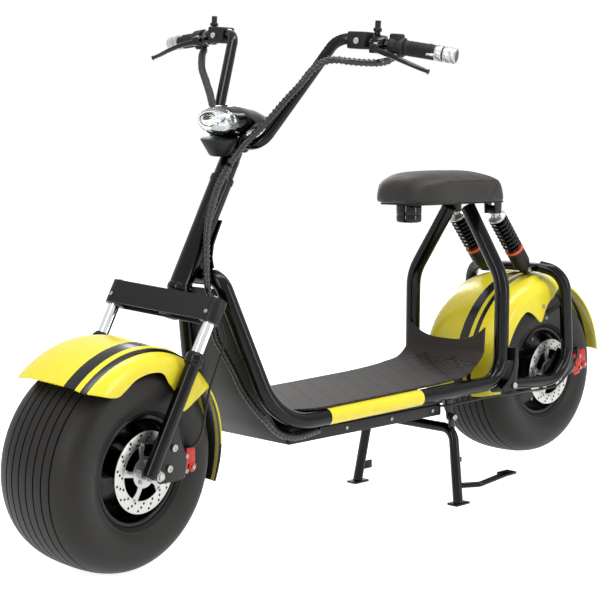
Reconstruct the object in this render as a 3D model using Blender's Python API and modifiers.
"""Electric moped with fat tyres, standing on its centre stand with the front wheel turned a little left.

Metres. X forward, Y to the rider's left, Z up. The design frame has its origin on the floor under
the front axle; the root empty then moves everything so that the origin lies under the middle.
"""
import math

import bmesh
import bpy
from mathutils import Matrix, Vector

# Driving dimensions of the whole vehicle
WHEELBASE = 1.3865
TYRE_RADIUS = 0.228
TYRE_HALF_WIDTH = 0.113
REAR_WHEEL_LIFT = 0.051
RAKE = math.radians(28.5)
AXLE_OFFSET = 0.008
STEER_REST = math.radians(8.85)
BOX_CENTRE_X = -0.709
BOX_CENTRE_Y = -0.0125
SEAT_GAP = 0.0003

# Wheels
BEAD_RADIUS = 0.112
BEAD_HALF_WIDTH = 0.086
TYRE_MID_RADIUS = 0.170
TREAD_THICKNESS = 0.012
RIM_LIP_RADIUS = 0.1185
RIM_LIP_HALF_WIDTH = 0.0925
RIM_BARREL_RADIUS = 0.100
RIM_WALL = 0.004
HUB_RADIUS = 0.030
HUB_BORE = 0.0085
AXLE_RADIUS = 0.0075
DISC_RADIUS = 0.0875
DISC_RING_INNER = 0.060
DISC_THICKNESS = 0.003
DISC_ARMS = 5
FRONT_DISC_Y = 0.1065
REAR_DISC_Y = 0.1185
MOTOR_HALF_WIDTH = 0.057
WHEEL_SEGMENTS = 28

# Frame
TUBE_RADIUS = 0.019
DECK_TUBE_Y = 0.150
DECK_FRONT_Y = 0.141
DECK_TUBE_Z_FRONT = 0.274
DECK_TUBE_Z_REAR = 0.286
DECK_FRONT_X = -0.358
UPRIGHT_X = -1.137
UPRIGHT_KNEE_Z = 0.545
DECK_BEND = 0.065
SEAT_TUBE_TOP = (-1.145, 0.0315, 0.7270)
HOOP_X = -0.2635
HOOP_Z = 0.603
HOOP_HALF_WIDTH = 0.062
HEAD_TUBE_RADIUS = 0.025
HEAD_TUBE_BORE = 0.0185
HEAD_TUBE_BOTTOM = 0.398
HEAD_TUBE_TOP = 0.674
BOX_BOTTOM_Z = 0.219
BOX_TOP_Z = 0.2577
BOX_HALF_WIDTH = 0.120
BOX_FRONT_X = -0.414
BOX_REAR_X = -0.940
CROSS_RADIUS = 0.012
CROSS_Z = 0.270
BOARD_THICKNESS = 0.005
SHEET = 0.003

# Seat and its carrier
SEAT_BOTTOM_Z = 0.743
SEAT_PLATE_THICKNESS = 0.005
CANISTER_RADIUS = 0.032
CANISTER_X = -0.950
CANISTER_BOTTOM_Z = 0.693

# Rear suspension
SWING_RADIUS = 0.016
SWING_Y = 0.160
PIVOT_X = -1.150
PIVOT_Z = 0.276
DROPOUT_Y = 0.1395
DROPOUT_THICKNESS = 0.007
BRIDGE_Z = 0.5562
SHOCK_Y = 0.067
SHOCK_LOWER = (-1.344, 0.554)
SHOCK_UPPER = (-1.203, 0.7195)
SHOCK_RADIUS = 0.025
COIL_WIRE = 0.0035
COIL_TURNS = 6.5

# Fork and steering
FORK_Y = 0.1385
FORK_OFFSET = 0.025
STANCHION_RADIUS = 0.013
LEG_RADIUS = 0.0155
COLLAR_RADIUS = 0.0205
LEG_BOTTOM = -0.012
COLLAR_BOTTOM = 0.236
COLLAR_TOP = 0.261
CROWN_BOTTOM = 0.334
CROWN_TOP = 0.386
CROWN_DEPTH = 0.042
STEM_RADIUS = 0.0165
STEM_TOP_RADIUS = 0.0225
STEM_TOP = 0.722
AXLE_HALF_LENGTH = 0.158
CALIPER_INNER = 0.012
CALIPER_OUTER = 0.020

# Handlebar
BAR_RADIUS = 0.0125
BAR_BASE = (-0.364, 0.0, 0.889)
BAR_LOWER_BEND = (-0.370, 0.070, 0.893)
BAR_UPPER_BEND = (-0.524, 0.152, 1.138)
BAR_END = (-0.597, 0.418, 1.108)
GRIP_RADIUS = 0.0170
CLAMP_RADIUS = 0.0200
LEVER_RADIUS = 0.0065

# Fenders: crown radius about the axle, half width, and the height of the rounded shoulder
FRONT_FENDER_RADIUS = 0.264
FRONT_FENDER_HALF_WIDTH = 0.1226
REAR_FENDER_RADIUS = 0.264
REAR_FENDER_HALF_WIDTH = 0.1260
FENDER_SHOULDER = 0.062

# Centre stand
STAND_X = -0.960
STAND_Z = 0.214
STAND_TUBE = 0.0125
FOOT_X = -0.945
FOOT_Y = 0.172
FOOT_THICKNESS = 0.006

AXIS = Vector((-math.sin(RAKE), 0.0, math.cos(RAKE)))
FORWARD = Vector((math.cos(RAKE), 0.0, math.sin(RAKE)))

# Colours (linear red, green, blue), roughness and metallic
FINISHES = {
    "gloss_black": ((0.010, 0.010, 0.011), 0.22, 0.0),
    "satin_black": ((0.020, 0.020, 0.021), 0.45, 0.0),
    "rubber": ((0.022, 0.021, 0.020), 0.75, 0.0),
    "yellow": ((0.83, 0.68, 0.02), 0.25, 0.0),
    "chrome": ((0.80, 0.80, 0.80), 0.10, 1.0),
    "steel": ((0.55, 0.55, 0.54), 0.35, 1.0),
    "red": ((0.55, 0.04, 0.02), 0.35, 0.0),
    "clear": ((0.75, 0.78, 0.78), 0.05, 0.0),
    "vinyl": ((0.060, 0.057, 0.055), 0.60, 0.0),
}


def clear_scene():
    for item in list(bpy.data.objects):
        bpy.data.objects.remove(item)
    for group in list(bpy.data.collections):
        bpy.data.collections.remove(group)


def make_material(name):
    colour, roughness, metallic = FINISHES[name]
    material = bpy.data.materials.new(name)
    material.use_nodes = True
    shader = material.node_tree.nodes["Principled BSDF"]
    shader.inputs["Base Color"].default_value = (*colour, 1.0)
    shader.inputs["Roughness"].default_value = roughness
    shader.inputs["Metallic"].default_value = metallic
    return material


clear_scene()
PARTS = bpy.data.collections.new("moped")
bpy.context.scene.collection.children.link(PARTS)
MATERIALS = {name: make_material(name) for name in FINISHES}


def add_empty(name, location, parent=None):
    """An empty at a place in the design frame, kept upright until the end."""
    empty = bpy.data.objects.new(name, None)
    PARTS.objects.link(empty)
    empty.location = location
    if parent is not None:
        attach(empty, parent)
    return empty


def attach(item, parent):
    """Parent an object whose place is still given in the design frame."""
    bpy.context.view_layer.update()
    item.parent = parent
    item.matrix_parent_inverse = parent.matrix_world.inverted()


def finish(item, name, material, parent, smooth=True):
    item.name = name
    item.data.name = name
    item.data.materials.clear()
    item.data.materials.append(MATERIALS[material])
    if smooth and item.type == "MESH":
        item.data.shade_smooth()
        item.data.set_sharp_from_angle(angle=math.radians(35))
    attach(item, parent)
    return item


def mesh_object(bm, name="piece"):
    mesh = bpy.data.meshes.new(name)
    bm.to_mesh(mesh)
    bm.free()
    item = bpy.data.objects.new(name, mesh)
    PARTS.objects.link(item)
    return item


def as_mesh(item):
    """The evaluated shape of a curve or modified object as a plain welded mesh object."""
    bpy.context.view_layer.update()
    graph = bpy.context.evaluated_depsgraph_get()
    mesh = bpy.data.meshes.new_from_object(item.evaluated_get(graph))
    bm = bmesh.new()
    bm.from_mesh(mesh)
    bmesh.ops.remove_doubles(bm, verts=bm.verts, dist=0.00001)
    bmesh.ops.recalc_face_normals(bm, faces=bm.faces)
    bm.to_mesh(mesh)
    bm.free()
    solid = bpy.data.objects.new(item.name, mesh)
    PARTS.objects.link(solid)
    solid.matrix_world = item.matrix_world.copy()
    bpy.data.objects.remove(item)
    return solid


def combine(base, tools, operation):
    """Join or cut a solid with others by exact Booleans, and keep the result as its mesh."""
    for tool in tools:
        step = base.modifiers.new(operation.lower(), "BOOLEAN")
        step.operation = operation
        step.solver = "EXACT"
        step.object = tool
    bpy.context.view_layer.update()
    graph = bpy.context.evaluated_depsgraph_get()
    mesh = bpy.data.meshes.new_from_object(base.evaluated_get(graph))
    base.modifiers.clear()
    base.data = mesh
    for tool in tools:
        bpy.data.objects.remove(tool)
    return base


def fuse(base, *tools):
    return combine(base, tools, "UNION")


def cut(base, *tools):
    return combine(base, tools, "DIFFERENCE")


def turn_to(direction):
    """Rotation that carries local Z onto a direction."""
    return Vector((0.0, 0.0, 1.0)).rotation_difference(Vector(direction)).to_matrix().to_4x4()


def rod(start, end, radius, end_radius=None, segments=20):
    start = Vector(start)
    end = Vector(end)
    bm = bmesh.new()
    bmesh.ops.create_cone(
        bm,
        cap_ends=True,
        segments=segments,
        radius1=radius,
        radius2=radius if end_radius is None else end_radius,
        depth=(end - start).length,
    )
    item = mesh_object(bm, "rod")
    item.matrix_world = Matrix.Translation((start + end) / 2.0) @ turn_to(end - start)
    return item


def block(low, high, bevel=0.0):
    """A box between two corners, its edges rounded by a Bevel modifier."""
    low = Vector(low)
    high = Vector(high)
    bm = bmesh.new()
    bmesh.ops.create_cube(bm, size=1.0)
    bmesh.ops.scale(bm, vec=high - low, verts=bm.verts)
    item = mesh_object(bm, "block")
    item.location = (low + high) / 2.0
    if bevel:
        rounding = item.modifiers.new("rounding", "BEVEL")
        rounding.width = bevel
        rounding.segments = 2
        item = as_mesh(item)
    return item


def turned(profile, base, direction, segments=32):
    """Revolve (radius, height) points, outer side from the top down, about a line through base."""
    closed = min(radius for radius, _ in profile) > 0.0
    bm = bmesh.new()
    points = [bm.verts.new((radius, 0.0, height)) for radius, height in profile]
    for first, second in zip(points, points[1:]):
        bm.edges.new((first, second))
    if closed:
        bm.edges.new((points[-1], points[0]))
    item = mesh_object(bm, "turned")
    item.matrix_world = Matrix.Translation(Vector(base)) @ turn_to(direction)
    spin = item.modifiers.new("turn", "SCREW")
    spin.angle = math.tau
    spin.steps = segments
    spin.render_steps = segments
    spin.use_merge_vertices = True
    spin.merge_threshold = 0.00005
    return as_mesh(item)


def rounded_path(corners, step=math.radians(18)):
    """Points along straight runs whose corners (point, bend radius) are arcs."""
    places = [Vector(point) for point, _ in corners]
    path = [places[0]]
    for before, here, after, bend in zip(places, places[1:], places[2:], [c[1] for c in corners[1:]]):
        into = (here - before).normalized()
        out = (after - here).normalized()
        angle = into.angle(out)
        reach = bend * math.tan(angle / 2.0)
        side = (out - into * into.dot(out)).normalized()
        start = here - into * reach
        centre = start + side * bend
        count = max(2, math.ceil(angle / step))
        for index in range(count + 1):
            turn = angle * index / count
            path.append(centre + (into * math.sin(turn) - side * math.cos(turn)) * bend)
    path.append(places[-1])
    return path


def tube(path, radius, resolution=3, radii=None):
    """A round bar along a path: a bevelled poly curve with filled caps, made a welded mesh."""
    data = bpy.data.curves.new("tube", "CURVE")
    data.dimensions = "3D"
    data.bevel_depth = radius
    data.bevel_resolution = resolution
    data.use_fill_caps = True
    spline = data.splines.new("POLY")
    spline.points.add(len(path) - 1)
    for index, point in enumerate(path):
        spline.points[index].co = (*point, 1.0)
        spline.points[index].radius = 1.0 if radii is None else radii[index]
    item = bpy.data.objects.new("tube", data)
    PARTS.objects.link(item)
    return as_mesh(item)


def side_plate(outline, y_middle, thickness, holes=()):
    """A flat plate in the X-Z plane from a 2D curve; holes are (x, z, radius)."""
    data = bpy.data.curves.new("plate", "CURVE")
    data.dimensions = "2D"
    data.fill_mode = "BOTH"
    data.extrude = thickness / 2.0
    loops = [outline]
    for x, z, radius in holes:
        loops.append(ring_points(x, z, radius, 12))
    for loop in loops:
        spline = data.splines.new("POLY")
        spline.points.add(len(loop) - 1)
        for index, (x, z) in enumerate(loop):
            spline.points[index].co = (x, z, 0.0, 1.0)
        spline.use_cyclic_u = True
    item = bpy.data.objects.new("plate", data)
    PARTS.objects.link(item)
    item.rotation_euler = (math.pi / 2.0, 0.0, 0.0)
    item.location = (0.0, y_middle, 0.0)
    return as_mesh(item)


def ring_points(x, z, radius, count, start=0.0, stop=math.tau):
    """Points on an arc; a full circle leaves out the repeated last point."""
    full = abs(stop - start) >= math.tau - 0.001
    steps = count if full else count - 1
    angles = [start + (stop - start) * index / steps for index in range(count)]
    return [(x + radius * math.cos(angle), z + radius * math.sin(angle)) for angle in angles]


def superellipse(count, exponent):
    """Unit quarter curve from (0, 1) to (1, 0) as pairs (across, up)."""
    power = 2.0 / exponent
    angles = [math.pi / 2.0 * (1.0 - index / (count - 1)) for index in range(count)]
    return [(abs(math.cos(angle)) ** power, abs(math.sin(angle)) ** power) for angle in angles]


# Tyre outline: half section as (across, radius), from the tread centre to the bead
def tyre_half_section():
    tread = [
        (TYRE_HALF_WIDTH * across, TYRE_MID_RADIUS + (TYRE_RADIUS - TYRE_MID_RADIUS) * up)
        for across, up in superellipse(5, 2.6)
    ]
    wall = [
        (TYRE_HALF_WIDTH - 0.006, 0.140),
        (BEAD_HALF_WIDTH + 0.007, RIM_LIP_RADIUS + SEAT_GAP),
        (BEAD_HALF_WIDTH, RIM_LIP_RADIUS + SEAT_GAP),
        (BEAD_HALF_WIDTH, BEAD_RADIUS),
    ]
    return tread + wall


def tyre_drop():
    """How far the turned and leaning front tyre reaches below its axle."""
    tilt = math.asin(math.sin(RAKE) * math.sin(STEER_REST))
    return max(
        radius * math.cos(tilt) + across * math.sin(tilt) for across, radius in tyre_half_section()
    )


AXLE_Z = tyre_drop()
FRONT_AXLE = Vector((0.0, 0.0, AXLE_Z))
REAR_AXLE = Vector((-WHEELBASE, 0.0, TYRE_RADIUS + REAR_WHEEL_LIFT))
AXIS_BASE = FRONT_AXLE - FORWARD * AXLE_OFFSET


def on_axis(along, ahead=0.0, y=0.0):
    """A place by its distance up the steering axis, ahead of it, and to the left."""
    return AXIS_BASE + AXIS * along + FORWARD * ahead + Vector((0.0, y, 0.0))


def left_right(point, side):
    return Vector((point[0], point[1] * side, point[2]))


def side_name(side):
    return "left" if side > 0 else "right"


# Frame tubes
def deck_reach(x):
    """Clear half width between the deck tubes at a place along them."""
    share = (x - DECK_FRONT_X) / (UPRIGHT_X - DECK_FRONT_X)
    middle = DECK_FRONT_Y + (DECK_TUBE_Y - DECK_FRONT_Y) * share
    return middle - TUBE_RADIUS - 2.0 * SEAT_GAP


def build_frame_tubes(root):
    # Corner point, bend radius: hoop middle, shoulder, deck front, deck rear, knee, seat end
    corners = [
        ((HOOP_X, SEAT_GAP / 2.0, HOOP_Z), 0.0),
        ((HOOP_X, HOOP_HALF_WIDTH, HOOP_Z), 0.040),
        ((DECK_FRONT_X, DECK_FRONT_Y, DECK_TUBE_Z_FRONT - 0.002), 0.130),
        ((UPRIGHT_X, DECK_TUBE_Y, DECK_TUBE_Z_REAR), DECK_BEND),
        ((UPRIGHT_X - 0.003, DECK_TUBE_Y, UPRIGHT_KNEE_Z), 0.120),
        (SEAT_TUBE_TOP, 0.0),
    ]
    for side in (1, -1):
        path = rounded_path([(left_right(point, side), bend) for point, bend in corners])
        finish(tube(path, TUBE_RADIUS), f"frame_tube_{side_name(side)}", "gloss_black", root)


def build_head_tube(root):
    lip = HEAD_TUBE_RADIUS + 0.0018
    height = HEAD_TUBE_TOP - HEAD_TUBE_BOTTOM
    profile = [
        (lip, height),
        (lip, height - 0.012),
        (HEAD_TUBE_RADIUS, height - 0.014),
        (HEAD_TUBE_RADIUS, 0.014),
        (lip, 0.012),
        (lip, 0.0),
        (HEAD_TUBE_BORE, 0.0),
        (HEAD_TUBE_BORE, height),
    ]
    head = turned(profile, on_axis(HEAD_TUBE_BOTTOM), AXIS, 20)
    finish(head, "head_tube", "gloss_black", root)


def build_spine(root):
    """Curved strip and web plate that join the head tube to the top of the hoop."""
    back = -(HEAD_TUBE_RADIUS + SEAT_GAP)
    strip_line = [
        on_axis(0.585, back - 0.0025),
        on_axis(0.545, back - 0.0040),
        Vector((HOOP_X - 0.0215, 0.0, HOOP_Z + 0.069)),
        Vector((HOOP_X - 0.0170, 0.0, HOOP_Z + 0.042)),
        Vector((HOOP_X - 0.0235, 0.0, HOOP_Z + 0.007)),
    ]
    upper = on_axis(0.585, back)
    lower = on_axis(0.440, back)
    around = TUBE_RADIUS + 0.0006
    outline = [(upper.x, upper.z)] + [(point.x, point.z) for point in strip_line]
    outline += ring_points(HOOP_X, HOOP_Z, around, 6, math.radians(165), math.radians(35))
    outline.append((lower.x, lower.z))
    web = side_plate(outline, 0.0, 0.008)
    finish(web, "spine_gusset", "gloss_black", root, smooth=False)
    front = [(point.x - SEAT_GAP, point.z - SEAT_GAP) for point in strip_line]
    rear = [(point.x - 0.0045, point.z - 0.0018) for point in reversed(strip_line)]
    finish(side_plate(front + rear, 0.0, 0.030), "spine_strip", "gloss_black", root)


def panel_half_width(z):
    """Half the clear width between the down tubes at a height on their straight run."""
    top_y = HOOP_HALF_WIDTH
    share = (HOOP_Z - z) / (HOOP_Z - DECK_TUBE_Z_FRONT)
    centre = top_y + (DECK_FRONT_Y - top_y) * share
    return centre - TUBE_RADIUS - 0.0028


def build_front_panel(root):
    # Height, forward place and half width of each row of the folded sheet
    top_z = HOOP_Z - TUBE_RADIUS - 0.008
    slope = (DECK_FRONT_X - HOOP_X) / (DECK_TUBE_Z_FRONT - HOOP_Z)
    fold_z = 0.350
    rows = [
        (top_z, HOOP_X + slope * (top_z - HOOP_Z), panel_half_width(top_z)),
        (0.460, HOOP_X + slope * (0.460 - HOOP_Z), panel_half_width(0.460)),
        (fold_z, HOOP_X + slope * (fold_z - HOOP_Z), panel_half_width(fold_z)),
        (0.262, -0.384, 0.114),
        (BOX_BOTTOM_Z + 0.004, BOX_FRONT_X + SHEET + SEAT_GAP, 0.118),
    ]
    bm = bmesh.new()
    edges = []
    for z, x, half in rows:
        edges.append((bm.verts.new((x, -half, z)), bm.verts.new((x, half, z))))
    for (a, b), (c, d) in zip(edges, edges[1:]):
        bm.faces.new((a, c, d, b))
    panel = mesh_object(bm, "panel")
    wall = panel.modifiers.new("wall", "SOLIDIFY")
    wall.thickness = SHEET
    wall.offset = 0.0
    finish(as_mesh(panel), "front_panel", "satin_black", root, smooth=False)


def build_deck(root):
    box = block(
        (BOX_REAR_X, -BOX_HALF_WIDTH, BOX_BOTTOM_Z), (BOX_FRONT_X, BOX_HALF_WIDTH, BOX_TOP_Z), 0.004
    )
    finish(box, "battery_box", "satin_black", root, smooth=False)
    for name, x in (("cross_tube_front", -0.470), ("cross_tube_rear", -0.900)):
        reach = deck_reach(x)
        bar = rod((x, -reach, CROSS_Z), (x, reach, CROSS_Z), CROSS_RADIUS, segments=16)
        finish(bar, name, "gloss_black", root)
    build_board(root)


def build_board(root):
    """Tread board: flat over the cross tubes, curved up at the rear, its top edge dished."""
    bottom = CROSS_Z + CROSS_RADIUS + SEAT_GAP
    middle = bottom + BOARD_THICKNESS / 2.0
    bend = 0.060
    bend_x = -1.052
    columns = 8
    bm = bmesh.new()
    grid = []
    for column in range(columns + 1):
        across = 2.0 * column / columns - 1.0
        share = abs(across)
        top = 0.350 + 0.060 * share ** 3
        path = [(-0.440, middle), (-0.560, middle), (-0.800, middle), (bend_x, middle)]
        for index in range(1, 6):
            turn = math.pi / 2.0 * index / 5
            path.append((bend_x - bend * math.sin(turn), middle + bend * (1.0 - math.cos(turn))))
        path.append((bend_x - bend - 0.002, top))
        grid.append([bm.verts.new((x, across * min(deck_reach(x), 0.130), z)) for x, z in path])
    for left, right in zip(grid, grid[1:]):
        for row in range(len(left) - 1):
            bm.faces.new((left[row], left[row + 1], right[row + 1], right[row]))
    board = mesh_object(bm, "board")
    wall = board.modifiers.new("wall", "SOLIDIFY")
    wall.thickness = BOARD_THICKNESS
    wall.offset = 0.0
    finish(as_mesh(board), "deck_board", "rubber", root)


# Seat
def build_seat(root):
    # Section place, half width, edge height, middle height
    sections = [
        (-0.874, 0.022, 0.768, 0.772),
        (-0.882, 0.060, 0.788, 0.797),
        (-0.915, 0.095, 0.800, 0.812),
        (-0.975, 0.116, 0.804, 0.819),
        (-1.050, 0.125, 0.805, 0.820),
        (-1.120, 0.126, 0.805, 0.818),
        (-1.170, 0.120, 0.804, 0.815),
        (-1.186, 0.108, 0.798, 0.808),
    ]
    bm = bmesh.new()
    rings = []
    for x, half, edge, middle in sections:
        low = SEAT_BOTTOM_Z
        shape = [
            (0.0, low),
            (half * 0.93, low),
            (half, low + (edge - low) * 0.25),
            (half * 0.97, low + (edge - low) * 0.75),
            (half * 0.84, edge),
            (half * 0.45, middle - 0.002),
            (0.0, middle),
        ]
        mirrored = [(-y, z) for y, z in reversed(shape[1:-1])]
        rings.append([bm.verts.new((x, y, z)) for y, z in shape + mirrored])
    count = len(rings[0])
    for first, second in zip(rings, rings[1:]):
        for index in range(count):
            after = (index + 1) % count
            bm.faces.new((first[index], first[after], second[after], second[index]))
    bm.faces.new(list(reversed(rings[0])))
    bm.faces.new(rings[-1])
    bmesh.ops.recalc_face_normals(bm, faces=bm.faces)
    seat = mesh_object(bm, "seat")
    finish(seat, "seat", "vinyl", root)
    top = SEAT_BOTTOM_Z - SEAT_GAP
    under = top - SEAT_PLATE_THICKNESS
    plate = block((-1.176, -0.085, under), (-0.905, 0.085, top), 0.0)
    tongue = block((-1.222, -0.086, under), (-1.170, 0.086, top), 0.0)
    ears = []
    x, z = SHOCK_UPPER
    for side in (1, -1):
        for offset in (-0.0165, 0.0165):
            outline = [(x - 0.012, z - 0.010), (x + 0.012, z - 0.010), (x + 0.014, top), (x - 0.014, top)]
            ears.append(side_plate(outline, SHOCK_Y * side + offset, 0.004))
    plate = fuse(plate, tongue, *ears)
    finish(plate, "seat_plate", "satin_black", root, smooth=False)
    top = under - SEAT_GAP
    profile = [
        (0.0, top - CANISTER_BOTTOM_Z),
        (CANISTER_RADIUS, top - CANISTER_BOTTOM_Z),
        (CANISTER_RADIUS, 0.004),
        (CANISTER_RADIUS - 0.004, 0.0),
        (0.0, 0.0),
    ]
    canister = turned(profile, (CANISTER_X, 0.0, CANISTER_BOTTOM_Z), (0.0, 0.0, 1.0), 28)
    finish(canister, "seat_canister", "gloss_black", root)


# Rear suspension
def build_pivots(root):
    """Brackets behind the tube bends: two cheeks, a web on the tube, and the pivot bolt."""
    back = UPRIGHT_X - TUBE_RADIUS - 5.0 * SEAT_GAP
    bend_x = UPRIGHT_X + DECK_BEND
    bend_z = DECK_TUBE_Z_REAR + DECK_BEND
    gap = SWING_RADIUS + 0.0008
    for side in (1, -1):
        middle = SWING_Y * side
        outline = [(back, 0.372)]
        outline += ring_points(
            bend_x, bend_z, DECK_BEND + TUBE_RADIUS + 3.0 * SEAT_GAP, 8, math.pi, math.pi + 1.15
        )
        outline += [
            (-1.112, 0.258),
            (PIVOT_X - 0.004, 0.254),
            (PIVOT_X - 0.014, 0.264),
            (PIVOT_X - 0.014, 0.288),
            (back - 0.014, 0.330),
            (back - 0.012, 0.372),
        ]
        outer = side_plate(outline, middle + (gap + 0.002) * side, 0.004)
        inner = side_plate(outline, middle - (gap + 0.002) * side, 0.004)
        web = block((back - 0.008, middle - gap - 0.001, 0.338), (back, middle + gap + 0.001, 0.371))
        head = (gap + 0.003) * side
        bolt = rod((PIVOT_X, middle - head, PIVOT_Z), (PIVOT_X, middle + head, PIVOT_Z), 0.006, segments=16)
        cap = rod((PIVOT_X, middle + head, PIVOT_Z), (PIVOT_X, middle + head + 0.005 * side, PIVOT_Z), 0.009, segments=6)
        bracket = fuse(outer, inner, web, bolt, cap)
        finish(bracket, f"pivot_bracket_{side_name(side)}", "satin_black", root, smooth=False)


def build_swing_arm(root):
    """Welded rear arm: two bent tubes with axle plates, joined above the wheel by a cross bar."""
    start_x = PIVOT_X + 0.011
    # Corner point, bend radius: pivot end, bend behind the axle, top bend, shock end
    corners = [
        ((start_x, SWING_Y, PIVOT_Z), 0.0),
        ((-1.416, SWING_Y, 0.262), 0.085),
        ((-1.393, SWING_Y, 0.548), 0.062),
        ((-1.368, 0.098, 0.562), 0.0),
    ]
    dropout = [(-1.330, 0.262), (-1.400, 0.268), (-1.414, 0.330), (-1.400, 0.345), (-1.372, 0.318), (-1.340, 0.300)]
    carrier = [(-1.385, 0.258), (-1.416, 0.258), (-1.4700, 0.274), (-1.4710, 0.312), (-1.416, 0.328), (-1.385, 0.310)]
    pieces = []
    for side in (1, -1):
        path = rounded_path([(left_right(point, side), bend) for point, bend in corners])
        pieces.append(tube(path, SWING_RADIUS))
        pieces.append(side_plate(dropout, DROPOUT_Y * side, DROPOUT_THICKNESS))
        pieces.append(
            rod(
                (REAR_AXLE.x, (DROPOUT_Y - 0.0030) * side, REAR_AXLE.z),
                (REAR_AXLE.x, (SWING_Y - 0.004) * side, REAR_AXLE.z),
                0.014,
                segments=16,
            )
        )
        pieces.append(
            rod(
                (-1.3955, 0.158 * side, 0.470),
                (-1.362, (REAR_FENDER_HALF_WIDTH + 0.0006) * side, 0.440),
                0.006,
                segments=10,
            )
        )
        pieces.append(block((-1.388, 0.067 * side - 0.010, 0.5470), (SHOCK_LOWER[0] - 0.0113, 0.067 * side + 0.010, 0.5610)))
    face = REAR_DISC_Y + CALIPER_OUTER + SEAT_GAP
    pieces.append(side_plate(carrier, face + 0.002, 0.004))
    bar = rod((-1.386, -0.110, BRIDGE_Z), (-1.386, 0.110, BRIDGE_Z), 0.011, segments=16)
    tail = block((-1.440, -0.075, BRIDGE_Z + 0.005), (-1.380, 0.075, BRIDGE_Z + 0.009))
    arm = fuse(bar, tail, *pieces)
    bolt = Vector((PIVOT_X, 0.0, PIVOT_Z))
    holes = []
    for side in (1, -1):
        inner = bolt + Vector((0.0, 0.13 * side, 0.0))
        outer = bolt + Vector((0.0, 0.19 * side, 0.0))
        holes.append(rod(inner, outer, 0.0063, segments=16))
    finish(cut(arm, *holes), "swing_arm", "gloss_black", root)
    end = DROPOUT_Y - DROPOUT_THICKNESS / 2.0 - SEAT_GAP
    axle = rod((REAR_AXLE.x, -end, REAR_AXLE.z), (REAR_AXLE.x, end, REAR_AXLE.z), AXLE_RADIUS, segments=16)
    finish(axle, "rear_axle", "steel", root)


def build_shocks(root):
    for side in (1, -1):
        low = Vector((SHOCK_LOWER[0], SHOCK_Y * side, SHOCK_LOWER[1]))
        high = Vector((SHOCK_UPPER[0], SHOCK_Y * side, SHOCK_UPPER[1]))
        direction = (high - low).normalized()
        length = (high - low).length
        seat_low = 0.080
        seat_high = length - 0.030
        profile = [
            (0.0, length - 0.006),
            (0.010, length - 0.006),
            (0.012, length - 0.016),
            (0.018, length - 0.022),
            (SHOCK_RADIUS - 0.001, seat_high + 0.006),
            (SHOCK_RADIUS - 0.001, seat_high),
            (0.012, seat_high),
            (0.012, seat_low),
            (SHOCK_RADIUS, seat_low),
            (SHOCK_RADIUS, seat_low - 0.008),
            (SHOCK_RADIUS - 0.001, seat_low - 0.030),
            (0.014, 0.012),
            (0.010, 0.004),
            (0.0, 0.004),
        ]
        body = turned(profile, low, direction, 14)
        eyes = []
        for place in (low, high):
            eyes.append(rod(place - Vector((0, 0.012, 0)), place + Vector((0, 0.012, 0)), 0.011, segments=12))
        body = fuse(body, *eyes)
        finish(body, f"shock_body_{side_name(side)}", "satin_black", root)
        build_coil(root, side, low, direction, seat_low + SEAT_GAP, seat_high - SEAT_GAP)


def build_coil(root, side, low, direction, start, stop):
    radius = SHOCK_RADIUS - COIL_WIRE
    first = start + COIL_WIRE
    last = stop - COIL_WIRE
    steps = int(COIL_TURNS * 7)
    turn_frame = turn_to(direction)
    path = []
    for index in range(steps + 1):
        angle = math.tau * COIL_TURNS * index / steps
        height = first + (last - first) * index / steps
        local = Vector((radius * math.cos(angle), radius * math.sin(angle), height))
        path.append(low + turn_frame @ local)
    coil = tube(path, COIL_WIRE, 1)
    finish(coil, f"shock_spring_{side_name(side)}", "gloss_black", root)


# Fenders
def skirt_radius(table, angle):
    """Inner edge of the skirt at an angle, between the rows (angle, radius) of a table."""
    for (start, first), (stop, second) in zip(table, table[1:]):
        if start <= angle <= stop:
            share = (angle - start) / (stop - start)
            return first + (second - first) * share
    return table[-1][1]


def build_fender(name, centre, crown, half_width, table, parent):
    """A shell swept about the axle whose skirts follow a table of inner radii."""
    quarter = 4
    angles = []
    for (start, _), (stop, _) in zip(table, table[1:]):
        parts = max(1, math.ceil((stop - start) / 17.0))
        angles += [start + (stop - start) * index / parts for index in range(parts)]
    angles.append(table[-1][0])
    base = crown - FENDER_SHOULDER
    bm = bmesh.new()
    rows = []
    for angle in angles:
        inner = skirt_radius(table, angle)
        rise = max(0.0, (inner + 0.004 - base) / FENDER_SHOULDER)
        exponent = 3.0
        lowest = math.asin(min(1.0, rise ** (exponent / 2.0)))
        section = []
        for index in range(quarter):
            turn = lowest + (math.pi / 2.0 - lowest) * index / (quarter - 1)
            across = half_width * max(0.0, math.cos(turn)) ** (2.0 / exponent)
            section.append((across, base + FENDER_SHOULDER * math.sin(turn) ** (2.0 / exponent)))
        outer_y, outer_r = section[0]
        drop = (outer_r - inner) / 2.0
        section = [(outer_y, inner), (outer_y, inner + drop)] + section
        section[-1] = (0.0, crown)
        half = section + [(-across, radius) for across, radius in reversed(section[:-1])]
        c, s = math.cos(math.radians(angle)), math.sin(math.radians(angle))
        rows.append(
            [bm.verts.new((centre.x + radius * c, across, centre.z + radius * s)) for across, radius in half]
        )
    for first, second in zip(rows, rows[1:]):
        for index in range(len(first) - 1):
            bm.faces.new((first[index], first[index + 1], second[index + 1], second[index]))
    bmesh.ops.recalc_face_normals(bm, faces=bm.faces)
    shell = mesh_object(bm, "fender")
    wall = shell.modifiers.new("wall", "SOLIDIFY")
    wall.thickness = SHEET
    wall.offset = -1.0
    return finish(as_mesh(shell), name, "yellow", parent)


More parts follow.
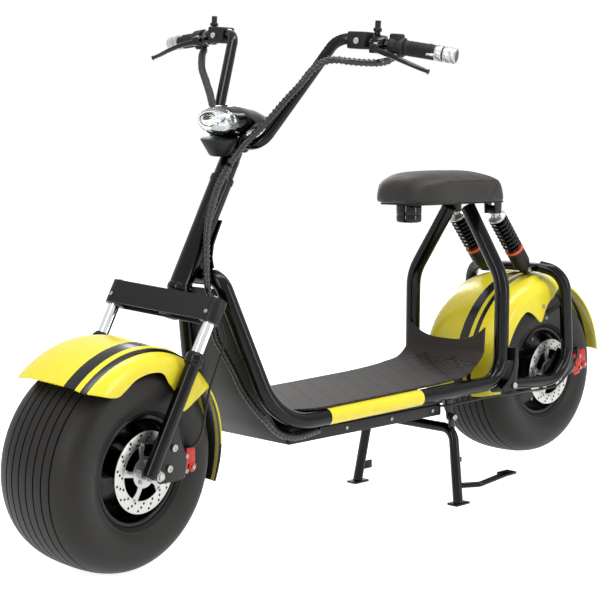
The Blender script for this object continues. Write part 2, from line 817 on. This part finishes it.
# Angle about the axle from straight ahead, inner radius of the skirt
FRONT_SKIRT = [
    (48, 0.252), (52, 0.230), (56, 0.211), (61, 0.199), (68, 0.206), (78, 0.219), (92, 0.222),
    (102, 0.206), (108, 0.190), (120, 0.165), (127, 0.149), (131, 0.152), (135, 0.195), (138, 0.236),
    (168, 0.244), (196, 0.250),
]
REAR_SKIRT = [
    (-7, 0.222), (0, 0.207), (30, 0.204), (50, 0.206), (58, 0.203), (64, 0.178), (69, 0.147),
    (73, 0.144), (78, 0.162), (86, 0.190), (92, 0.200), (98, 0.226), (106, 0.240), (172, 0.244),
]


# Wheels
def build_tyre(name, centre, parent):
    half = tyre_half_section()
    inner_wall = [
        (BEAD_HALF_WIDTH - 0.008, BEAD_RADIUS),
        (TYRE_HALF_WIDTH - TREAD_THICKNESS, 0.165),
        (0.055, TYRE_RADIUS - TREAD_THICKNESS),
    ]
    # The local Z of the turned shape lies along -Y or +Y alike, because the section is symmetric
    outer = [(radius, across) for across, radius in reversed(half)]
    outer += [(radius, -across) for across, radius in half[1:]]
    inner = [(radius, -across) for across, radius in inner_wall]
    inner += [(radius, across) for across, radius in reversed(inner_wall)]
    tyre = turned(outer + inner, centre, (0.0, 1.0, 0.0), WHEEL_SEGMENTS)
    finish(tyre, name, "rubber", parent)


def rim_profile(web_low, web_high, hub_low, hub_high):
    """Deep rim with a web plate and hub, as (radius, across) from the left lip to the right."""
    lip = RIM_LIP_HALF_WIDTH
    seat = BEAD_HALF_WIDTH - SEAT_GAP
    well = BEAD_RADIUS - SEAT_GAP
    inner = RIM_BARREL_RADIUS
    return [
        (RIM_LIP_RADIUS, lip),
        (RIM_LIP_RADIUS, lip - 0.004),
        (well, lip - 0.006),
        (well, 0.060),
        (inner + RIM_WALL, 0.045),
        (inner + RIM_WALL, -0.045),
        (well, -0.060),
        (well, -lip + 0.006),
        (RIM_LIP_RADIUS, -lip + 0.004),
        (RIM_LIP_RADIUS, -lip),
        (well - RIM_WALL, -lip + 0.003),
        (inner, -0.060),
        (inner, web_low),
        (HUB_RADIUS, web_low),
        (HUB_RADIUS, hub_low),
        (HUB_BORE, hub_low),
        (HUB_BORE, hub_high),
        (HUB_RADIUS, hub_high),
        (HUB_RADIUS, web_high),
        (inner, web_high),
        (inner, 0.060),
        (well - RIM_WALL, lip - 0.003),
    ]


def build_disc(name, y, parent):
    """Brake disc: ring and spider arms, cut from one plate by windows between the arms."""
    plate = side_plate(ring_points(0, 0, DISC_RADIUS, 24), 0.0, DISC_THICKNESS, [(0, 0, HUB_BORE + 0.002)])
    windows = []
    span = math.tau / DISC_ARMS
    for index in range(DISC_ARMS):
        start = index * span + 0.16
        stop = (index + 1) * span - 0.16
        outline = ring_points(0, 0, DISC_RING_INNER, 3, start, stop)
        outline += list(reversed(ring_points(0, 0, HUB_RADIUS + 0.002, 2, start + 0.12, stop - 0.12)))
        windows.append(side_plate(outline, 0.0, DISC_THICKNESS * 4.0))
    disc = cut(plate, *windows)
    disc.data.transform(disc.matrix_world)
    disc.matrix_world = Matrix.Identity(4)
    return disc, y, name, parent


def place_disc(made, centre):
    disc, y, name, parent = made
    disc.location = centre + Vector((0.0, y, 0.0))
    finish(disc, name, "steel", parent, smooth=False)


def build_front_wheel(wheel):
    build_tyre("front_tyre", FRONT_AXLE, wheel)
    hub_end = FRONT_DISC_Y - DISC_THICKNESS / 2.0 - SEAT_GAP
    rim = turned(rim_profile(0.010, 0.018, -hub_end, hub_end), FRONT_AXLE, (0.0, 1.0, 0.0), WHEEL_SEGMENTS)
    finish(rim, "front_rim", "gloss_black", wheel)
    place_disc(build_disc("front_disc", FRONT_DISC_Y, wheel), FRONT_AXLE)


def build_rear_wheel(wheel):
    build_tyre("rear_tyre", REAR_AXLE, wheel)
    hub_end = REAR_DISC_Y - DISC_THICKNESS / 2.0 - SEAT_GAP
    rim = turned(
        rim_profile(-MOTOR_HALF_WIDTH, MOTOR_HALF_WIDTH, -hub_end, hub_end), REAR_AXLE, (0.0, 1.0, 0.0), WHEEL_SEGMENTS
    )
    finish(rim, "rear_hub_rim", "gloss_black", wheel)
    place_disc(build_disc("rear_disc", REAR_DISC_Y, wheel), REAR_AXLE)


# Fork
def leg_point(side, along, ahead=0.0, across=0.0):
    return on_axis(along, FORK_OFFSET + ahead, (FORK_Y + across) * side)


def axis_plate(outline, y_middle, thickness, holes=()):
    """A side plate drawn in (ahead, along) of the steering axis instead of (x, z)."""
    def place(ahead, along):
        point = on_axis(along, ahead)
        return (point.x, point.z)
    flat = [place(ahead, along) for ahead, along in outline]
    round_holes = [(*place(ahead, along), radius) for ahead, along, radius in holes]
    return side_plate(flat, y_middle, thickness, round_holes)


# Plates behind the lower legs, as (ahead, along) of the steering axis
LEFT_LEG_PLATE = [
    (FORK_OFFSET, -0.010), (-0.012, -0.012), (-0.050, 0.006), (-0.074, 0.020), (-0.072, 0.034),
    (-0.062, 0.058), (-0.020, 0.092), (-0.004, 0.105), (FORK_OFFSET, 0.135),
]
RIGHT_LEG_PLATE = [
    (FORK_OFFSET, -0.010), (-0.012, -0.012), (-0.020, 0.002), (-0.020, 0.022), (-0.004, 0.035),
    (FORK_OFFSET, 0.065),
]


def caliper_bosses():
    """Two spacers between the left plate and the front caliper."""
    face = FRONT_DISC_Y + CALIPER_OUTER + SEAT_GAP
    return [rod((-0.075, face, z), (-0.075, FORK_Y, z), 0.006, segments=12) for z in (0.220, 0.245)]


def build_fork(steering):
    nut_start = FORK_Y + 0.0045 + SEAT_GAP
    for side in (1, -1):
        stanchion = rod(
            leg_point(side, COLLAR_TOP + SEAT_GAP), leg_point(side, CROWN_BOTTOM - SEAT_GAP), STANCHION_RADIUS
        )
        finish(stanchion, f"stanchion_{side_name(side)}", "chrome", steering)
        profile = [
            (0.0, COLLAR_TOP),
            (COLLAR_RADIUS - 0.002, COLLAR_TOP),
            (COLLAR_RADIUS, COLLAR_TOP - 0.003),
            (COLLAR_RADIUS, COLLAR_BOTTOM + 0.004),
            (LEG_RADIUS + 0.001, COLLAR_BOTTOM),
            (LEG_RADIUS, COLLAR_BOTTOM - 0.006),
            (LEG_RADIUS, LEG_BOTTOM + 0.003),
            (LEG_RADIUS - 0.003, LEG_BOTTOM),
            (0.0, LEG_BOTTOM),
        ]
        leg = turned(profile, leg_point(side, 0.0), AXIS, 18)
        plate = axis_plate(LEFT_LEG_PLATE if side > 0 else RIGHT_LEG_PLATE, (FORK_Y + 0.001) * side, 0.007)
        if side > 0:
            plate = fuse(plate, *caliper_bosses())
        leg = fuse(leg, plate)
        ends = [FRONT_AXLE + Vector((0.0, y * side, 0.0)) for y in (0.100, nut_start - SEAT_GAP, 0.200)]
        bore = rod(ends[0], ends[2], AXLE_RADIUS + SEAT_GAP, segments=16)
        recess = rod(ends[1], ends[2], 0.0135, segments=16)
        leg = cut(leg, bore, recess)
        finish(leg, f"lower_leg_{side_name(side)}", "gloss_black", steering)
    axle = rod(
        FRONT_AXLE - Vector((0, AXLE_HALF_LENGTH, 0)), FRONT_AXLE + Vector((0, AXLE_HALF_LENGTH, 0)),
        AXLE_RADIUS, segments=16,
    )
    nuts = []
    for side in (1, -1):
        nuts.append(
            rod(
                FRONT_AXLE + Vector((0, nut_start * side, 0)),
                FRONT_AXLE + Vector((0, (nut_start + 0.011) * side, 0)),
                0.012,
                segments=6,
            )
        )
    finish(fuse(axle, *nuts), "front_axle", "steel", steering)


def oblique_block(low, high):
    """A box drawn in (ahead, across, along) of the steering axis."""
    low = Vector(low)
    high = Vector(high)
    item = block((low.x, low.y, low.z), (high.x, high.y, high.z))
    frame = Matrix.Translation(AXIS_BASE) @ Matrix(
        (
            (FORWARD.x, 0.0, AXIS.x, 0.0),
            (0.0, 1.0, 0.0, 0.0),
            (FORWARD.z, 0.0, AXIS.z, 0.0),
            (0.0, 0.0, 0.0, 1.0),
        )
    )
    item.matrix_world = frame @ Matrix.Translation((low + high) / 2.0)
    return item


def build_crown(steering):
    half_depth = CROWN_DEPTH / 2.0
    wall = 0.004
    beam = oblique_block(
        (FORK_OFFSET - half_depth, -FORK_Y, CROWN_BOTTOM), (FORK_OFFSET + half_depth, FORK_Y, CROWN_TOP)
    )
    hollow = oblique_block(
        (FORK_OFFSET - half_depth + wall, -FORK_Y, CROWN_BOTTOM - 0.010),
        (FORK_OFFSET + half_depth - wall, FORK_Y, CROWN_TOP - 0.006),
    )
    beam = cut(beam, hollow)
    clamps = []
    for side in (1, -1):
        clamps.append(rod(leg_point(side, CROWN_BOTTOM), leg_point(side, CROWN_TOP + 0.001), 0.0215, segments=18))
    clamps.append(rod(on_axis(CROWN_BOTTOM + 0.004), on_axis(CROWN_TOP + 0.001), 0.022, segments=18))
    finish(fuse(beam, *clamps), "fork_crown", "satin_black", steering)
    foot = CROWN_TOP + 0.001 + SEAT_GAP
    profile = [
        (0.0, STEM_TOP),
        (STEM_TOP_RADIUS, STEM_TOP),
        (STEM_TOP_RADIUS, HEAD_TUBE_TOP + 0.001),
        (STEM_RADIUS, HEAD_TUBE_TOP + 0.001),
        (STEM_RADIUS, HEAD_TUBE_BOTTOM - 0.001),
        (HEAD_TUBE_RADIUS - 0.001, HEAD_TUBE_BOTTOM - 0.001),
        (HEAD_TUBE_RADIUS - 0.001, foot),
        (0.0, foot),
    ]
    finish(turned(profile, AXIS_BASE, AXIS, 20), "steering_stem", "gloss_black", steering)


# Handlebar
def bar_axis(side):
    start = left_right(BAR_UPPER_BEND, side)
    end = left_right(BAR_END, side)
    return start, (end - start).normalized()


def bar_point(side, y):
    """The point of the bar's outer run at a distance from the middle plane."""
    start, direction = bar_axis(side)
    return start + direction * ((y - BAR_UPPER_BEND[1]) / abs(direction.y))


def sleeve(side, y_start, y_stop, radius, bore=BAR_RADIUS + SEAT_GAP, segments=16):
    start = bar_point(side, y_start)
    length = (bar_point(side, y_stop) - start).length
    profile = [
        (radius - 0.001, length),
        (radius, length - 0.002),
        (radius, 0.0),
        (bore, 0.0),
        (bore, length),
    ]
    return turned(profile, start, bar_axis(side)[1], segments)


def build_handlebar(steering):
    bend = 0.042
    corners = [(left_right(BAR_END, -1), 0.0)]
    corners += [(left_right(BAR_UPPER_BEND, -1), bend), (left_right(BAR_LOWER_BEND, -1), bend)]
    corners += [(Vector(BAR_LOWER_BEND), bend), (Vector(BAR_UPPER_BEND), bend), (Vector(BAR_END), 0.0)]
    finish(tube(rounded_path(corners), BAR_RADIUS, 3), "handlebar", "gloss_black", steering)
    centre = Vector((BAR_LOWER_BEND[0], 0.0, BAR_LOWER_BEND[2]))
    base = on_axis(STEM_TOP + SEAT_GAP)
    reach = Vector((0.0, 0.026, 0.0))
    clamp = rod(centre - reach, centre + reach, CLAMP_RADIUS, segments=20)
    neck = rod(base, on_axis(STEM_TOP + 0.022), 0.0215, segments=20)
    cowl = rod((-0.318, 0.0, 0.884), (-0.318, 0.0, 0.9040), 0.024, 0.040, segments=20)
    body = fuse(clamp, neck, cowl)
    bore = rod(centre - Vector((0, 0.04, 0)), centre + Vector((0, 0.04, 0)), BAR_RADIUS + SEAT_GAP, segments=20)
    finish(cut(body, bore), "bar_clamp", "gloss_black", steering)


def build_controls(steering):
    for side in (1, -1):
        name = side_name(side)
        grip = sleeve(side, 0.304, 0.372, GRIP_RADIUS)
        finish(grip, f"grip_{name}", "rubber", steering)
        cap = sleeve(side, 0.3724, 0.418, 0.0172)
        finish(cap, f"grip_end_{name}", "chrome", steering)
        collar = sleeve(side, 0.270, 0.3036, 0.0215)
        finish(collar, f"switch_collar_{name}", "satin_black", steering)
        perch = sleeve(side, 0.234, 0.2596, 0.0190)
        middle = bar_point(side, 0.247)
        pivot = middle + Vector((0.034, 0.012 * side, -0.012))
        arm = rod(middle + Vector((0.016, 0.0, -0.004)), pivot, 0.010, segments=12)
        stub = rod(middle + Vector((0.0, -0.008 * side, 0.014)), middle + Vector((0.0, -0.008 * side, 0.050)), 0.0065, segments=12)
        perch = fuse(perch, arm, stub)
        finish(perch, f"lever_perch_{name}", "satin_black", steering)
        tip = Vector((-0.514, 0.403 * side, 1.071))
        start = pivot + (pivot - middle).normalized() * (LEVER_RADIUS - 0.0012)
        path = [
            start,
            start.lerp(tip, 0.25) + Vector((0.008, 0.0, 0.003)),
            start.lerp(tip, 0.55) + Vector((0.008, 0.0, 0.002)),
            start.lerp(tip, 0.85),
            start.lerp(tip, 0.95),
            tip,
        ]
        lever = tube(path, LEVER_RADIUS, 2, [1.0, 0.9, 0.8, 0.65, 1.05, 0.8])
        finish(lever, f"brake_lever_{name}", "satin_black", steering)


def build_headlight(steering):
    """Teardrop lamp housing and wrap-round lens cut from one rounded form."""
    # Place along the lamp, half width, top, bottom
    sections = [
        (-0.268, 0.020, 0.955, 0.935),
        (-0.275, 0.046, 0.966, 0.921),
        (-0.300, 0.062, 0.976, 0.908),
        (-0.345, 0.066, 0.978, 0.906),
        (-0.400, 0.056, 0.970, 0.913),
        (-0.450, 0.036, 0.955, 0.922),
        (-0.476, 0.014, 0.944, 0.933),
    ]
    around = 16

    def shell():
        bm = bmesh.new()
        rings = []
        for x, half, top, bottom in sections:
            middle = (top + bottom) / 2.0
            height = (top - bottom) / 2.0
            ring = []
            for index in range(around):
                angle = math.tau * index / around
                ring.append(bm.verts.new((x, half * math.cos(angle), middle + height * math.sin(angle))))
            rings.append(ring)
        for first, second in zip(rings, rings[1:]):
            for index in range(around):
                after = (index + 1) % around
                bm.faces.new((first[index], first[after], second[after], second[index]))
        bm.faces.new(list(reversed(rings[0])))
        bm.faces.new(rings[-1])
        bmesh.ops.recalc_face_normals(bm, faces=bm.faces)
        return mesh_object(bm, "lamp")

    split = Matrix.Translation((-0.318, 0.0, 0.942)) @ Matrix.Rotation(math.radians(28), 4, "Y")
    big = 0.30
    front = block((-SEAT_GAP, -big, -big), (big, big, big))
    front.matrix_world = split @ Matrix.Translation(front.location)
    rear = block((-big, -big, -big), (0.0, big, big))
    rear.matrix_world = split @ Matrix.Translation(rear.location)
    saddle = Vector((BAR_LOWER_BEND[0], 0.0, BAR_LOWER_BEND[2]))
    reach = Vector((0.0, 0.08, 0.0))
    groove = rod(saddle - reach, saddle + reach, CLAMP_RADIUS + 0.001, segments=24)
    housing = cut(shell(), front, groove)
    lens = cut(shell(), rear)
    finish(housing, "headlight_housing", "gloss_black", steering)
    finish(lens, "headlight_lens", "clear", steering)


# Brakes
def build_caliper(name, centre, disc_y, angle, reach, parent):
    """Two-piece caliper block over the disc edge, turned about the axle to its angle."""
    direction = Vector((math.cos(angle), 0.0, math.sin(angle)))
    body = block((-0.019, -CALIPER_INNER, -0.024), (0.023, CALIPER_OUTER, 0.024), 0.003)
    slot = block((-0.030, -0.0035, -0.030), (DISC_RADIUS + 0.004 - 0.088, 0.0035, 0.030))
    slot.location.y += 0.0
    body = cut(body, slot)
    piston = rod((0.0, 0.018, -0.004), (0.0, 0.027, -0.004), 0.012, segments=16)
    body = fuse(body, piston)
    body.data.transform(body.matrix_world)
    turn = Matrix.Rotation(-angle, 4, "Y")
    body.matrix_world = Matrix.Translation(centre + direction * reach + Vector((0, disc_y, 0))) @ turn
    finish(body, name, "red", parent)


# Centre stand
def build_stand_bracket(root):
    top = DECK_TUBE_Z_REAR - TUBE_RADIUS - 0.0035
    plate = block((STAND_X - 0.022, -0.148, top - 0.004), (STAND_X + 0.018, 0.148, top))
    pieces = []
    for side in (1, -1):
        outline = [(STAND_X + 0.016, top - 0.002), (STAND_X - 0.010, top - 0.002)]
        outline += ring_points(STAND_X, STAND_Z, 0.010, 7, math.pi, math.tau)
        pieces.append(side_plate(outline, 0.129 * side, 0.006))
        y = 0.126 * side
        pieces.append(rod((STAND_X, y, STAND_Z), (STAND_X, 0.1405 * side, STAND_Z), 0.005, segments=12))
        pieces.append(rod((STAND_X, 0.1400 * side, STAND_Z), (STAND_X, 0.1455 * side, STAND_Z), 0.0085, segments=6))
    finish(fuse(plate, *pieces), "stand_bracket", "satin_black", root, smooth=False)


def build_stand(stand):
    top_z = 0.185
    top_y = 0.143
    foot = (FOOT_X, FOOT_Y, 0.003)
    corner = (STAND_X + 0.002, top_y, top_z)
    corners = [(left_right(foot, -1), 0.0), (left_right(corner, -1), 0.036)]
    corners += [(Vector(corner), 0.036), (Vector(foot), 0.0)]
    legs = tube(rounded_path(corners), STAND_TUBE, 2)
    pieces = []
    for side in (1, -1):
        outline = [(STAND_X + 0.010, 0.176), (STAND_X + 0.011, STAND_Z)]
        outline += ring_points(STAND_X, STAND_Z, 0.011, 7, 0.2, math.pi - 0.2)
        outline += [(STAND_X - 0.011, STAND_Z), (STAND_X - 0.010, 0.176)]
        hole = [(STAND_X, STAND_Z, 0.0056)]
        pieces.append(side_plate(outline, 0.1362 * side, 0.0052, hole))
        pieces.append(
            block(
                (FOOT_X - 0.028, FOOT_Y * side - 0.016, 0.0),
                (FOOT_X + 0.024, FOOT_Y * side + 0.016, FOOT_THICKNESS),
            )
        )
    arm_path = rounded_path(
        [
            ((-0.947, 0.166, 0.046), 0.0),
            ((-1.000, 0.196, 0.046), 0.030),
            ((-1.087, 0.208, 0.060), 0.0),
        ]
    )
    pieces.append(tube(arm_path, 0.007, 2))
    pieces.append(block((-1.108, 0.196, 0.060), (-1.066, 0.228, 0.067), 0.0))
    pieces.append(block((-0.990, -0.165, 0.034), (-0.945, -0.161, 0.056), 0.0))
    pieces.append(block((-0.980, 0.150, 0.100), (-0.948, 0.154, 0.112), 0.0))
    finish(fuse(legs, *pieces), "centre_stand", "gloss_black", stand)


def build_all():
    root = add_empty("moped_root", (0.0, 0.0, 0.0))
    steering = add_empty("steering", FRONT_AXLE, root)
    front_wheel = add_empty("front_wheel", FRONT_AXLE, steering)
    rear_wheel = add_empty("rear_wheel", REAR_AXLE, root)
    stand = add_empty("stand", (STAND_X, 0.0, STAND_Z), root)
    build_frame_tubes(root)
    build_head_tube(root)
    build_spine(root)
    build_front_panel(root)
    build_deck(root)
    build_seat(root)
    build_pivots(root)
    build_swing_arm(root)
    build_shocks(root)
    build_fender("rear_fender", REAR_AXLE, REAR_FENDER_RADIUS, REAR_FENDER_HALF_WIDTH, REAR_SKIRT, root)
    build_fender("front_fender", FRONT_AXLE, FRONT_FENDER_RADIUS, FRONT_FENDER_HALF_WIDTH, FRONT_SKIRT, steering)
    build_front_wheel(front_wheel)
    build_rear_wheel(rear_wheel)
    build_fork(steering)
    build_crown(steering)
    build_handlebar(steering)
    build_controls(steering)
    build_headlight(steering)
    build_caliper("front_caliper", FRONT_AXLE, FRONT_DISC_Y, math.radians(178), 0.090, steering)
    build_caliper("rear_caliper", REAR_AXLE, REAR_DISC_Y, math.radians(172), 0.100, root)
    build_stand_bracket(root)
    build_stand(stand)
    bpy.context.view_layer.update()
    turn = Matrix.Translation(AXIS_BASE) @ Matrix.Rotation(STEER_REST, 4, AXIS)
    turn = turn @ Matrix.Translation(-AXIS_BASE)
    steering.matrix_world = turn @ steering.matrix_world
    root.location = (-BOX_CENTRE_X, -BOX_CENTRE_Y, 0.0)


build_all()
